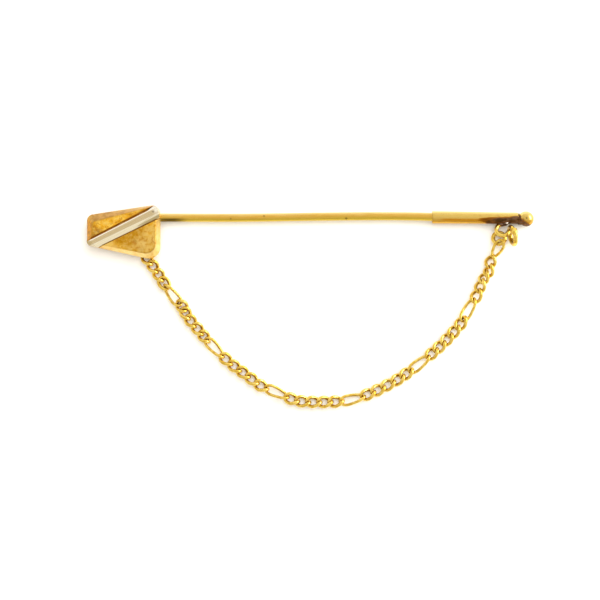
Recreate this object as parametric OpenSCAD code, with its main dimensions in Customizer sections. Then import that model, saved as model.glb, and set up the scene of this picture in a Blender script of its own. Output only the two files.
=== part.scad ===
// Chain pin: a stick pin with a two-colour plaque head, a slip-on point sheath and a guard chain.
// It lies face up on z = 0. +X runs along the stem to the ball end, +Y away from the chain.

/* [Overall] */
// Length from the plaque's left side to the ball's far side
pin_l = 65; // [64:0.5:67]

/* [Plaque] */
// Width along the stem
plaque_w = 10.7; // [10.2:0.1:11.2]
// Height of the short left side
plaque_left_h = 4.3; // [4:0.1:4.6]
// Height of the long right side
plaque_right_h = 8.35; // [8:0.05:8.7]
// How far the top edge climbs from left to right
plaque_top_climb = 1.6; // [1.3:0.1:1.9]
// Thickness from back to face
plaque_t = 1.5; // [1.3:0.1:1.8]
// Height of the upright rim below the sloping sides
plaque_rim_t = 0.35; // [0.25:0.05:0.5]
// Width of the sloping sides, seen from above
plaque_bevel_w = 0.65; // [0.5:0.05:0.7]

/* [Accent bar] */
// Width across the two facets
bar_w = 1.4; // [1.2:0.05:1.5]
// Height of the bar's sides above its seat
bar_side_t = 0.45; // [0.35:0.05:0.5]
// Height of the ridge above its seat
bar_ridge_t = 0.7; // [0.6:0.05:0.8]
// Depth of the channel that the bar sits in
channel_depth = 0.5; // [0.4:0.05:0.6]
// Shadow gap along the bar's upper side
channel_upper_gap = 0.25; // [0.15:0.05:0.3]
// Gap along the bar's lower side
channel_lower_gap = 0.1; // [0.05:0.05:0.15]

/* [Stem] */
// Radius of the round wire
stem_r = 0.6; // [0.5:0.05:0.6]
// How far the wire is let into the plaque's back
stem_let_in = 0.2; // [0.15:0.05:0.3]
// Length of the tapered point
point_l = 1.7; // [1.5:0.1:2]

/* [Sheath] */
// Outer radius at the mouth
sheath_mouth_r = 0.9; // [0.88:0.01:0.95]
// Outer radius at the ball end
sheath_end_r = 0.83; // [0.82:0.01:0.88]
// Length of the tube
sheath_l = 12.6; // [12.4:0.1:12.8]
// Radius of the blind bore
sheath_bore_r = 0.68; // [0.67:0.01:0.7]
// Depth of the blind bore
sheath_bore_l = 11.6; // [11.6:0.05:11.8]
// Radius of the neck between tube and ball
neck_r = 0.6; // [0.5:0.05:0.7]
// Radius of the ball end
ball_r = 1.1; // [1.08:0.01:1.15]

/* [Rings and chain] */
// Radius of the soldered chain loop, to the middle of its wire
loop_ring_r = 0.84; // [0.82:0.01:0.86]
// Radius of the chain loop's wire
loop_wire_r = 0.28; // [0.24:0.01:0.29]
// Radius of the jump ring, to the middle of its wire
jump_ring_r = 1.26; // [1.24:0.01:1.28]
// Radius of the jump ring's wire
jump_wire_r = 0.23; // [0.2:0.01:0.24]
// Radius of the hoop behind the plaque, to the middle of its wire
hoop_ring_r = 0.62; // [0.6:0.01:0.64]
// Radius of the hoop's wire
hoop_wire_r = 0.23; // [0.2:0.01:0.24]
// Half the thickness of the chain as it lies
chain_r = 0.7; // [0.6:0.05:0.7]

/* [Hidden] */

round_fn = 64;
hull_fn = 32;
overlap = 0.01;
neck_sunk = 0.1;

// Heights above the surface that the pin lies on: the ball sets the stem's
stem_z = ball_r;
plaque_back_z = stem_z + stem_r - stem_let_in;
plaque_face_z = plaque_back_z + plaque_t;
channel_z = plaque_face_z - channel_depth;
bar_seat_gap = 0.02;

// Plaque corners before rounding: x, y, radius
plaque_left_x = -pin_l / 2;
plaque_right_x = plaque_left_x + plaque_w;
plaque_left_top_y = 13.4;
CORNERS = [
    [plaque_left_x, plaque_left_top_y, 0.93],
    [plaque_right_x, plaque_left_top_y + plaque_top_climb, 1],
    [plaque_right_x, plaque_left_top_y + plaque_top_climb - plaque_right_h, 1.7],
    [plaque_left_x, plaque_left_top_y - plaque_left_h, 0.7]
];

// Middle of the bar's ridge and its slope
bar_mid = [-27.25, 11.3];
bar_angle = 26;
bar_reach = 14;

// Stem and sheath share one straight axis; the ball end sits a little off it, towards the chain
stem_y = 13.08;
stem_start_x = -29.3;
point_foot_x = 27.2;
point_tip_r = 0.15;
sheath_mouth_x = 17.7;
sheath_end_x = sheath_mouth_x + sheath_l;
ball_centre = [pin_l / 2 - ball_r, 12.9];

// Chain loop and jump ring: middle, lean from level, and heading of the lean
loop_centre = [27.99, 11.2, 0.7];
loop_lean = 18;
loop_heading = 72;
jump_centre = [29.04, 10.54, 1.34];
jump_lean = 60;
jump_heading = 206;

// Post of solder between the chain loop and the sheath: foot, radius and length
solder_foot = [27.95, 11.9, 0.75];
solder_r = 0.45;
solder_l = 0.7;

// Hoop behind the plaque's lower right corner
hoop_centre = [-23.8, 8.2];
hoop_z = hoop_ring_r + hoop_wire_r;

// Chain route on the surface, from the hoop to the jump ring: x, y
chain_sides = 10;
CHAIN_ROUTE = [
    [-23.8, 7],
    [-22, 4.6],
    [-20.2, 1.8],
    [-18.2, -1],
    [-16, -3.7],
    [-13.7, -6.2],
    [-11, -8.7],
    [-8.2, -10.8],
    [-5.1, -12.5],
    [-1.9, -13.7],
    [1.6, -14.1],
    [5, -13.8],
    [8.3, -12.7],
    [11.4, -11.2],
    [14.4, -9.4],
    [17.2, -7.2],
    [19.7, -4.9],
    [21.9, -2.4],
    [23.5, 0.4],
    [25, 3.3],
    [26, 5.9],
    [26.7, 7.9],
    [28.2, 9.3]
];

// Middle of the arc that rounds corner b between a and c with radius b[2]
function fillet_centre(a, b, c) =
    let (
        u = unit([a[0] - b[0], a[1] - b[1]]),
        v = unit([c[0] - b[0], c[1] - b[1]]),
        half = acos(u * v) / 2
    )
    [b[0], b[1]] + unit(u + v) * b[2] / sin(half);

function unit(v) = v / norm(v);

// Heading of a route at its point i: the mean of the stretches on both sides
function route_heading(route, i) =
    let (
        before = route[max(i - 1, 0)],
        after = route[min(i + 1, len(route) - 1)]
    )
    atan2(after[1] - before[1], after[0] - before[0]);

// One ring of tube points round route point i, at height z
function tube_ring(route, i, r, z, sides) = [
    for (s = [0:sides - 1])
        let (
            turn = 360 * (s + 0.5) / sides,
            side_heading = route_heading(route, i) + 90,
            out = r * cos(turn)
        )
        [route[i][0] + out * cos(side_heading), route[i][1] + out * sin(side_heading), z + r * sin(turn)]
];

// Quads of a tube's wall between ring i and the next
function tube_wall(i, sides) = [
    for (s = [0:sides - 1])
        [i * sides + s, i * sides + (s + 1) % sides, (i + 1) * sides + (s + 1) % sides, (i + 1) * sides + s]
];

module tube(route, r, z, sides) {
    last = len(route) - 1;
    points = [for (i = [0:last]) each tube_ring(route, i, r, z, sides)];
    walls = [for (i = [0:last - 1]) each tube_wall(i, sides)];
    near_cap = [for (s = [sides - 1:-1:0]) s];
    far_cap = [for (s = [0:sides - 1]) last * sides + s];
    polyhedron(points, [each walls, near_cap, far_cap], convexity = 6);
}

// What is drawn along z, laid along the stem's axis from x
module lay_along(x, y = stem_y) {
    translate([x, y, stem_z])
        rotate([0, 90, 0])
            children();
}

module ring(ring_r, wire_r) {
    rotate_extrude($fn = round_fn)
        translate([ring_r, 0])
            circle(r = wire_r, $fn = round_fn);
}

// A corner post of the plaque: upright rim, then the sloping side
module plaque_post(r) {
    cylinder(h = plaque_rim_t, r = r, $fn = hull_fn);
    translate([0, 0, plaque_rim_t])
        cylinder(h = plaque_t - plaque_rim_t, r1 = r, r2 = max(r - plaque_bevel_w, 0.05), $fn = hull_fn);
}

module plaque_body() {
    count = len(CORNERS);
    hull()
        for (i = [0:count - 1]) {
            centre = fillet_centre(CORNERS[(i + count - 1) % count], CORNERS[i], CORNERS[(i + 1) % count]);
            translate([centre[0], centre[1], plaque_back_z])
                plaque_post(CORNERS[i][2]);
        }
}

// What is carried along the bar's line, with its profile's x across the bar and its y up
module along_bar(z) {
    translate([bar_mid[0], bar_mid[1], z])
        rotate([0, 0, bar_angle])
            rotate([90, 0, 90])
                linear_extrude(height = bar_reach, center = true)
                    children();
}

module channel() {
    low = -bar_w / 2 - channel_lower_gap;
    high = bar_w / 2 + channel_upper_gap;
    along_bar(channel_z)
        translate([low, 0])
            square([high - low, plaque_t]);
}

module stem() {
    lay_along(stem_start_x)
        cylinder(h = point_foot_x - stem_start_x, r = stem_r, $fn = round_fn);
    lay_along(point_foot_x)
        cylinder(h = point_l, r1 = stem_r, r2 = point_tip_r, $fn = round_fn);
}

module hoop() {
    translate([hoop_centre[0], hoop_centre[1], hoop_z])
        rotate([0, 90, 0])
            ring(hoop_ring_r, hoop_wire_r);
}

module head_and_stem() {
    color("goldenrod") {
        difference() {
            plaque_body();
            channel();
        }
        stem();
        hoop();
    }
}

module accent_bar() {
    half = bar_w / 2;
    color("lightgray")
        intersection() {
            along_bar(channel_z + bar_seat_gap)
                polygon([[-half, 0], [half, 0], [half, bar_side_t], [0, bar_ridge_t], [-half, bar_side_t]]);
            translate([0, 0, bar_ridge_t - channel_depth + bar_seat_gap])
                plaque_body();
        }
}

module ball_end() {
    lay_along(sheath_end_x - neck_sunk, ball_centre[1])
        cylinder(h = neck_sunk + ball_centre[0] - sheath_end_x, r = neck_r, $fn = round_fn);
    translate([ball_centre[0], ball_centre[1], stem_z])
        sphere(r = ball_r, $fn = round_fn);
}

module chain_loop() {
    translate(solder_foot)
        rotate([-90, 0, 0])
            cylinder(h = solder_l, r = solder_r, $fn = round_fn);
    translate(loop_centre)
        rotate([0, loop_lean, loop_heading])
            ring(loop_ring_r, loop_wire_r);
}

module sheath() {
    color("darkgoldenrod")
        difference() {
            union() {
                lay_along(sheath_mouth_x)
                    cylinder(h = sheath_l, r1 = sheath_mouth_r, r2 = sheath_end_r, $fn = round_fn);
                ball_end();
                chain_loop();
            }
            lay_along(sheath_mouth_x - overlap)
                cylinder(h = sheath_bore_l + overlap, r = sheath_bore_r, $fn = round_fn);
        }
}

module jump_ring() {
    color("gold")
        translate(jump_centre)
            rotate([0, jump_lean, jump_heading])
                ring(jump_ring_r, jump_wire_r);
}

module chain() {
    color("gold")
        tube(CHAIN_ROUTE, chain_r, chain_r, chain_sides);
}

head_and_stem();
accent_bar();
sheath();
jump_ring();
chain();
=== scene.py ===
"""Looks of the chain pin: a gold plaque with a white gold bar, the stem, point sheath and guard chain.

Lengths in the classes are millimetres in the pin's frame: +X runs along the stem to the ball end,
+Y away from the chain, and z = 0 is the table top.
"""
import logging
import math
from collections.abc import Callable, Sequence
from dataclasses import dataclass, field
from enum import Enum

import bpy
import numpy as np
from mathutils import Matrix, Vector


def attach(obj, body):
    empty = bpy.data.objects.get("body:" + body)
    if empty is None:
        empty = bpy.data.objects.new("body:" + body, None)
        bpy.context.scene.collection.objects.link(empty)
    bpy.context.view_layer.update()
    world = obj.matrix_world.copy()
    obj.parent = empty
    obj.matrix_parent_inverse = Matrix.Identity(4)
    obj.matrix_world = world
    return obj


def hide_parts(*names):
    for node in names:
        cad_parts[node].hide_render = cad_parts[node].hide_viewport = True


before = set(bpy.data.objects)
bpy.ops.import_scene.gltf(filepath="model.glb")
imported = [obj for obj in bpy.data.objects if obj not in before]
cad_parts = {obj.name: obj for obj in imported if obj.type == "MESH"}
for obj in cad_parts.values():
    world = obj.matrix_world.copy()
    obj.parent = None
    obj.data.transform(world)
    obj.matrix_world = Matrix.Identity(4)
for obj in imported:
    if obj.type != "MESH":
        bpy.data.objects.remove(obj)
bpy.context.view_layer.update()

MM = 0.001
PER_MM = 1000.0
log = logging.getLogger("chain_pin")
Array = np.ndarray
Socket = bpy.types.NodeSocket
Material = bpy.types.Material
Pair = tuple[float, float]
Triple = tuple[float, float, float]
Four = tuple[float, float, float, float]


class Slot(Enum):
    """The record's material slots; no piece here takes its finish from them."""

    YELLOW_GOLD = "yellow_gold"
    WHITE_GOLD = "white_gold"
    SHEATH_GOLD = "sheath_gold"
    CHAIN_GOLD = "chain_gold"


class Node(Enum):
    """The solid that a piece stands for."""

    HEAD_AND_STEM = "head_and_stem"
    ACCENT_BAR = "accent_bar"
    SHEATH = "sheath"
    JUMP_RING = "jump_ring"
    CHAIN = "chain"


# Colours and nodes


def linear(code: str) -> Four:
    """An sRGB hex colour as linear values.

    Args:
        code: six hex digits, with or without a leading #.

    Returns:
        Red, green, blue and an alpha of 1.
    """
    code = code.lstrip("#")
    parts = np.array([int(code[i:i + 2], 16) / 255 for i in (0, 2, 4)])
    low, high = parts / 12.92, ((parts + 0.055) / 1.055) ** 2.4
    return (*(float(v) for v in np.where(parts <= 0.04045, low, high)), 1.0)


def add_node(tree: bpy.types.NodeTree, kind: str, settings: dict | None = None,
             inputs: dict | None = None) -> bpy.types.Node:
    """Adds a node, sets it up and links it.

    Args:
        tree: the node tree it goes into.
        kind: the node's type name.
        settings: attributes of the node and their values.
        inputs: input name, identifier or number, with a value or another node's output for each.

    Returns:
        The new node.
    """
    node = tree.nodes.new(kind)
    for key, value in (settings or {}).items():
        setattr(node, key, value)
    by_key = {s.identifier: s for s in node.inputs}
    by_key |= {s.name: s for s in reversed(node.inputs) if s.enabled}
    for key, value in (inputs or {}).items():
        target = node.inputs[key] if isinstance(key, int) else by_key[key]
        if isinstance(value, bpy.types.NodeSocket):
            tree.links.new(value, target)
        else:
            target.default_value = value
    return node


@dataclass
class Paint:
    """A material's tree while it is being built, with the few steps that every finish here repeats."""

    name: str
    roughness: float
    metallic: float = 1.0
    material: Material = field(init=False)
    tree: bpy.types.NodeTree = field(init=False)
    shader: bpy.types.Node = field(init=False)
    place: Socket = field(init=False)

    def __post_init__(self) -> None:
        """Makes the material, its shader and its coordinates in millimetres."""
        self.material = bpy.data.materials.new(self.name)
        self.material.use_nodes = True
        self.tree = self.material.node_tree
        self.tree.nodes.clear()
        self.shader = add_node(self.tree, "ShaderNodeBsdfPrincipled", None,
                               {"Metallic": self.metallic, "Roughness": self.roughness})
        add_node(self.tree, "ShaderNodeOutputMaterial", None, {"Surface": self.shader.outputs["BSDF"]})
        where = add_node(self.tree, "ShaderNodeTexCoord")
        self.place = add_node(self.tree, "ShaderNodeMapping", None,
                              {"Vector": where.outputs["Object"], "Scale": (PER_MM,) * 3}).outputs["Vector"]

    def noise(self, size: float | Sequence[float], detail: float = 3.0, rough: float = 0.55,
              shift: float = 0.0) -> Socket:
        """Noise with grains of about that size.

        Args:
            size: the grain in millimetres, one number or one for each axis.
            detail: octaves of finer noise.
            rough: how strong the finer octaves are.
            shift: moves the pattern, so that two of them differ.

        Returns:
            The noise value, centred on 0.5.
        """
        sizes = (size,) * 3 if isinstance(size, (int, float)) else size
        where = add_node(self.tree, "ShaderNodeMapping", None,
                         {"Vector": self.place, "Location": (shift, shift, shift),
                          "Scale": tuple(1 / s for s in sizes)})
        return add_node(self.tree, "ShaderNodeTexNoise", {"noise_dimensions": "3D"},
                        {"Vector": where.outputs["Vector"], "Scale": 1.0, "Detail": detail,
                         "Roughness": rough}).outputs["Fac"]

    def mark(self, name: str) -> Socket:
        """A named value that the mesh carries at its points."""
        return add_node(self.tree, "ShaderNodeAttribute", {"attribute_name": name}).outputs["Fac"]

    def span(self, value: Socket, low: float, high: float, to: Pair = (0.0, 1.0)) -> Socket:
        """Stretches low..high of a value to the range `to`, smoothly and clamped."""
        return add_node(self.tree, "ShaderNodeMapRange", {"interpolation_type": "SMOOTHSTEP"},
                        {"Value": value, "From Min": low, "From Max": high,
                         "To Min": to[0], "To Max": to[1]}).outputs["Result"]

    def math(self, operation: str, *values: Socket | float) -> Socket:
        """One arithmetic step on one, two or three values."""
        return add_node(self.tree, "ShaderNodeMath", {"operation": operation},
                        dict(enumerate(values))).outputs[0]

    def times(self, value: Socket | float, by: Socket | float) -> Socket:
        """One value times another."""
        return self.math("MULTIPLY", value, by)

    def blend(self, first: Socket, share: float, second: Socket) -> Socket:
        """Two values added, the first by its share and the second by the rest of 1."""
        return self.math("ADD", self.times(first, share), self.times(second, 1 - share))

    def wavered(self, value: Socket, noise: Socket, height: float) -> Socket:
        """A value moved up and down by noise that is centred on 0.5."""
        return self.math("ADD", value, self.times(self.math("SUBTRACT", noise, 0.5), height))

    def mix(self, share: Socket | float, first: Socket | str, second: Socket | str) -> Socket:
        """The colour between two, where each is a hex code or an output."""
        a, b = (linear(c) if isinstance(c, str) else c for c in (first, second))
        return add_node(self.tree, "ShaderNodeMix", {"data_type": "RGBA"},
                        {"Factor_Float": share, "A_Color": a, "B_Color": b}).outputs[2]

    def finish(self, colour: Socket, roughness: Socket, height: Socket, depth_mm: float) -> Material:
        """Links colour, roughness and bump to the shader.

        Args:
            colour: the base colour.
            roughness: the roughness.
            height: the relief, 0 to 1.
            depth_mm: the relief's real depth.

        Returns:
            The finished material.
        """
        bump = add_node(self.tree, "ShaderNodeBump", None,
                        {"Height": height, "Strength": 1.0, "Distance": depth_mm * MM})
        for name, output in (("Base Color", colour), ("Roughness", roughness), ("Normal", bump.outputs[0])):
            self.tree.links.new(output, self.shader.inputs[name])
        return self.material


# Finishes


@dataclass(frozen=True)
class SatinCastGold:
    """14-carat yellow gold, cast, satin brushed and long worn.

    The satin spreads the light into soft patches. Handling has left ochre, peach and khaki clouds
    about half a millimetre across, and dirt has stayed in the channel. Painted shade darkens the crease
    where a face meets its slope, and the face beside the channel.
    """

    name: str = "yellow_gold_cast_satin_worn"
    plain: str = "#DDAB3C"
    light: str = "#E9C164"
    rich: str = "#F4B52C"
    glow: str = "#FFD45C"
    ochre: str = "#C48C0E"
    khaki: str = "#A67C3C"
    peach: str = "#EAC878"
    blush: str = "#C89C5A"
    tan: str = "#AE8448"
    russet: str = "#CE9028"
    pale: str = "#F2D68E"
    rust: str = "#BC7414"
    dirt: str = "#8E611C"
    groove: str = "#BE7A10"
    soot: str = "#B06A0C"
    cloud_mm: float = 0.7
    mottle_mm: float = 0.26
    fleck_mm: float = 0.46
    grain_mm: float = 0.12  # real satin grain is about 0.03 mm, drawn coarser so that it shows
    depth_mm: float = 0.018
    stain_least: float = 0.65  # the weakest part of a stain or of painted shade against its strongest

    def build(self) -> Material:
        """Makes the material.

        Returns:
            The finished material.
        """
        p = Paint(self.name, roughness=0.42)
        cloud, mottle = p.noise(self.cloud_mm, 4, 0.6), p.noise(self.mottle_mm, 3, shift=7)
        grain = p.noise((self.grain_mm * 5, self.grain_mm, self.grain_mm), 2, shift=3)
        patch = p.span(cloud, 0.38, 0.6)
        face = p.mix(patch, self.plain, self.light)
        face = p.mix(p.mark("rich"), face, p.mix(p.span(cloud, 0.42, 0.58), self.rich, self.glow))
        clouds = (("peach", self.peach, 0.5), ("ochre", self.ochre, 0.6), ("khaki", self.khaki, 0.5))
        for name, colour, least in clouds:
            face = p.mix(p.times(p.mark(name), p.span(mottle, 0.62, 0.38, (least, 1.0))), face, colour)
        fleck = p.noise(self.fleck_mm, 3, 0.65, shift=11)
        face = p.mix(p.times(p.span(fleck, 0.53, 0.63), 0.6), face, self.rust)
        face = p.mix(p.times(p.span(fleck, 0.47, 0.37), 0.38), face, self.peach)
        # the slopes are painted paler than the face as painted light; the top slope's tan and the left slope's
        # russet are painted shade with some stain
        edge = p.mix(p.times(patch, 0.35), self.pale, self.plain)
        edge = p.mix(p.mark("top_band"), edge, p.mix(p.span(cloud, 0.42, 0.6), self.tan, self.blush))
        edge = p.mix(p.mark("left_band"), edge, p.mix(p.span(mottle, 0.45, 0.65), self.russet, self.khaki))
        colour = p.mix(p.mark("band"), face, edge)
        # painted shade along the creases and on the face beside the channel, then the dirt in the channel
        stains = (("dirt", self.dirt, 0.75), ("groove", self.groove, 0.95), ("soot", self.soot, 1.0))
        for name, stain, most in stains:
            share = p.times(p.mark(name), p.span(cloud, 0.35, 0.6, (most * self.stain_least, most)))
            colour = p.mix(share, colour, stain)
        rough = p.span(p.blend(cloud, 0.6, mottle), 0.3, 0.7, (0.32, 0.5))
        return p.finish(colour, rough, p.blend(mottle, 0.7, grain), self.depth_mm)


@dataclass(frozen=True)
class DrawnGoldWire:
    """14-carat yellow gold wire, drawn through a die.

    The die leaves fine lines along the wire, so the reflections break into long streaks. The side
    towards +Y is painted pale and the side towards -Y olive, a painted light and shade, and there is a
    brown stain where the wire leaves the plaque.
    """

    name: str = "yellow_gold_drawn_wire"
    pale: str = "#E6C985"
    middle: str = "#DCB050"
    olive: str = "#D6B744"
    line: str = "#B8902C"
    stain: str = "#66501A"
    pit: str = "#5A3A10"
    line_mm: float = 0.1  # real draw lines are about 0.02 mm apart, drawn coarser so that they show
    line_length_mm: float = 5.0
    tarnish_mm: Triple = (3.0, 0.5, 0.5)
    pit_mm: float = 0.3
    depth_mm: float = 0.01

    def build(self) -> Material:
        """Makes the material.

        Returns:
            The finished material.
        """
        p = Paint(self.name, roughness=0.3)
        lines = p.noise((self.line_length_mm, self.line_mm, self.line_mm), 2)
        slow = p.noise(self.tarnish_mm, 2, shift=5)
        pits = p.noise(self.pit_mm, 2, shift=2)
        # side: painted light and shade across the wire, pale towards +Y and olive towards -Y
        side = p.wavered(p.mark("side"), slow, 0.35)
        colour = p.mix(p.span(side, 0.15, 0.55), self.olive, self.middle)
        colour = p.mix(p.span(side, 0.55, 0.95), colour, self.pale)
        colour = p.mix(p.times(p.span(lines, 0.52, 0.68), 0.35), colour, self.line)
        stain = p.times(p.mark("stain"), p.span(slow, 0.2, 0.7, (0.7, 1.0)))
        colour = p.mix(stain, colour, self.stain)
        colour = p.mix(p.mark("pit"), colour, self.pit)
        rough = p.span(lines, 0.35, 0.65, (0.22, 0.36))
        return p.finish(colour, rough, p.blend(lines, 0.6, pits), self.depth_mm)


@dataclass(frozen=True)
class FireScaledGold:
    """14-carat yellow gold tube, drawn and then heated for soldering.

    The tube keeps its fine draw lines. The flame has left an amber line along the lower side and
    copper oxide, brown turning violet, where it was soldered and round the ball, whose lower left also
    carries painted shade. The tube is painted paler towards +Y and deeper towards -Y, a painted light
    and shade, and its slit, the ball's pit and the bore are painted near-black as painted shade.
    """

    name: str = "yellow_gold_tube_fire_scaled"
    pale: str = "#E2C880"
    middle: str = "#DABA64"
    deep: str = "#D2A13C"
    amber: str = "#CE8804"
    scale_edge: str = "#B4720A"
    scale: str = "#8C5410"
    violet: str = "#745A46"
    crust: str = "#4E3418"
    soot: str = "#2E1808"
    line_mm: float = 0.1  # as the wire's, coarser than real
    line_length_mm: float = 4.0
    cloud_mm: float = 0.5
    streak_mm: Triple = (1.1, 0.18, 0.18)
    depth_mm: float = 0.01

    def build(self) -> Material:
        """Makes the material.

        Returns:
            The finished material.
        """
        p = Paint(self.name, roughness=0.28)
        lines = p.noise((self.line_length_mm, self.line_mm, self.line_mm), 2, shift=4)
        cloud = p.noise((self.cloud_mm * 2, self.cloud_mm, self.cloud_mm), 4)
        # side: painted light and shade across the tube, pale towards +Y and deep towards -Y
        side = p.wavered(p.mark("side"), cloud, 0.3)
        colour = p.mix(p.span(side, 0.1, 0.5), self.deep, self.middle)
        colour = p.mix(p.span(side, 0.6, 0.95), colour, self.pale)
        colour = p.mix(p.times(p.span(lines, 0.52, 0.68), 0.25), colour, self.deep)
        warm = p.times(p.mark("amber"), p.span(cloud, 0.35, 0.6, (0.7, 1.0)))
        colour = p.mix(warm, colour, self.amber)
        streak = p.noise(self.streak_mm, 4, 0.65, shift=9)
        loose = p.math("ADD", p.times(cloud, 0.7), p.times(streak, 1.3))
        ragged = p.math("ADD", p.mark("scale"), p.math("SUBTRACT", loose, 1.0))
        colour = p.mix(p.span(ragged, 0.15, 0.5), colour, self.scale_edge)
        burnt = p.times(p.mark("burnt"), p.span(streak, 0.36, 0.56, (0.45, 1.0)))
        colour = p.mix(p.span(ragged, 0.35, 0.75), colour, p.mix(burnt, self.scale, self.violet))
        crust = p.times(p.span(ragged, 0.7, 1.0), p.span(cloud, 0.6, 0.42))
        colour = p.mix(crust, colour, self.crust)
        # painted shade, near-black, in the slit beside the ball, the ball's pit and the bore
        colour = p.mix(p.mark("soot"), colour, self.soot)
        rough = p.math("ADD", p.span(lines, 0.35, 0.65, (0.2, 0.3)), p.span(ragged, 0.3, 0.9, (0.0, 0.2)))
        return p.finish(colour, rough, p.blend(lines, 0.5, cloud), self.depth_mm)


@dataclass(frozen=True)
class PolishedChainGold:
    """18-carat yellow gold wire, bent into links, soldered and barrel polished.

    Polish and closely packed curves give it sharp lights on the outer limbs. The wire's inner sides,
    where the links cross, are painted brown: painted shade with some grime.
    """

    name: str = "yellow_gold_links_barrel_polished"
    bright: str = "#F4D674"
    deep: str = "#DCB446"
    grime_and_shade: str = "#8E640A"
    rub_mm: float = 0.6
    nick_mm: float = 0.2
    depth_mm: float = 0.003

    def build(self) -> Material:
        """Makes the material.

        Returns:
            The finished material.
        """
        p = Paint(self.name, roughness=0.16)
        rub, nick = p.noise(self.rub_mm, 3), p.noise(self.nick_mm, 2, shift=6)
        colour = p.mix(p.span(rub, 0.35, 0.65), self.bright, self.deep)
        # brown painted shade, with some grime, on the wires' inner sides
        grime_and_shade = p.times(p.mark("inner"), p.span(rub, 0.3, 0.62, (0.45, 0.9)))
        colour = p.mix(grime_and_shade, colour, self.grime_and_shade)
        return p.finish(colour, p.span(rub, 0.35, 0.65, (0.1, 0.18)), nick, self.depth_mm)


@dataclass(frozen=True)
class WhiteGoldFacets:
    """White gold bar, milled, its upper facet brushed and its lower one and its edges polished.

    The upper facet is painted an even greyish beige and the lower one cream, a painted shade and
    light on the two facets, and a painted highlight runs as a nearly white line along the upper edge.
    """

    name: str = "white_gold_milled_brushed"
    beige: str = "#D2BE96"
    cream: str = "#F9EFD0"
    rubbed: str = "#FFFAEC"
    dull_end: str = "#B3A070"
    worn: str = "#A8945C"
    pit: str = "#6E5C40"
    line_mm: float = 0.08  # brush lines, about twice the real width so that they show
    line_length_mm: float = 4.0
    wear_mm: float = 0.5
    depth_mm: float = 0.006
    angle: float = math.radians(26)

    def build(self) -> Material:
        """Makes the material.

        Returns:
            The finished material.
        """
        p = Paint(self.name, roughness=0.3)
        turned = add_node(p.tree, "ShaderNodeVectorRotate", {"rotation_type": "Z_AXIS"},
                          {"Vector": p.place, "Angle": -self.angle})
        along = add_node(p.tree, "ShaderNodeMapping", None,
                         {"Vector": turned.outputs[0],
                          "Scale": (1 / self.line_length_mm, 1 / self.line_mm, 1 / self.line_mm)})
        lines = add_node(p.tree, "ShaderNodeTexNoise", None,
                         {"Vector": along.outputs[0], "Scale": 1.0, "Detail": 2.0}).outputs["Fac"]
        wear = p.noise(self.wear_mm, 3)
        # the upper facet painted beige and the lower one cream: painted shade and light on the two facets
        colour = p.mix(p.mark("lower_facet"), self.beige, self.cream)
        colour = p.mix(p.times(p.span(lines, 0.5, 0.7), 0.3), colour, self.worn)
        # darker towards the left end
        dull = p.times(p.mark("worn_end"), p.span(wear, 0.3, 0.6, (0.4, 0.9)))
        colour = p.mix(dull, colour, self.dull_end)
        # the near-white painted highlight, the scratches together with a wedge of painted shade, and the pits
        for name, tone in (("rubbed", self.rubbed), ("scuff", self.worn), ("pit", self.pit)):
            colour = p.mix(p.mark(name), colour, tone)
        rough = p.span(lines, 0.3, 0.7, (0.24, 0.36))
        return p.finish(colour, rough, p.blend(lines, 0.7, wear), self.depth_mm)


@dataclass(frozen=True)
class HardSolder:
    """Gold solder, run hot and left unpolished.

    It is lumpy and grey-brown with oxide, with a few small lights on its lumps, one of them a painted
    glint.
    """

    name: str = "gold_solder_oxidised"
    light: str = "#94786A"
    dark: str = "#5A463C"
    bare: str = "#FFF6EA"
    lump_mm: float = 0.3
    fine_mm: float = 0.12
    depth_mm: float = 0.03

    def build(self) -> Material:
        """Makes the material.

        Returns:
            The finished material.
        """
        p = Paint(self.name, roughness=0.35)
        lump, fine = p.noise(self.lump_mm, 3), p.noise(self.fine_mm, 2, shift=3)
        colour = p.mix(p.span(lump, 0.35, 0.65), self.dark, self.light)
        colour = p.mix(p.mark("bare"), colour, self.bare)
        rough = p.span(fine, 0.3, 0.7, (0.25, 0.5))
        return p.finish(colour, rough, p.math("ADD", lump, fine), self.depth_mm)


# Shells


@dataclass
class Shell:
    """A closed surface: points in millimetres, faces, and named values at the points."""

    points: Array
    quads: Array
    tris: Array
    marks: dict[str, Array] = field(default_factory=dict)

    def outward(self) -> "Shell":
        """Turns the faces outwards.

        The volume is the sum over triangles of a . (b x c) / 6, and a negative one means that the
        faces point inwards.

        Returns:
            The shell itself.
        """
        q, t = self.points[self.quads], self.points[self.tris]
        fans = np.concatenate([q[:, [0, 1, 2]], q[:, [0, 2, 3]], t])
        volume = np.einsum("ij,ij->i", fans[:, 0], np.cross(fans[:, 1], fans[:, 2])).sum()
        if volume < 0:
            self.quads, self.tris = self.quads[:, ::-1], self.tris[:, ::-1]
        return self


def joined(shells: Sequence[Shell]) -> Shell:
    """Several shells as one, with each one's face numbers moved past the points before it.

    Args:
        shells: the shells; where one lacks a mark, its points have 0.

    Returns:
        One shell.
    """
    starts = np.cumsum([0] + [len(s.points) for s in shells[:-1]])
    names = sorted({n for s in shells for n in s.marks})
    return Shell(
        np.concatenate([s.points for s in shells]),
        np.concatenate([s.quads + k for s, k in zip(shells, starts)]),
        np.concatenate([s.tris + k for s, k in zip(shells, starts)]),
        {n: np.concatenate([s.marks.get(n, np.zeros(len(s.points))) for s in shells]) for n in names},
    )


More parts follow.
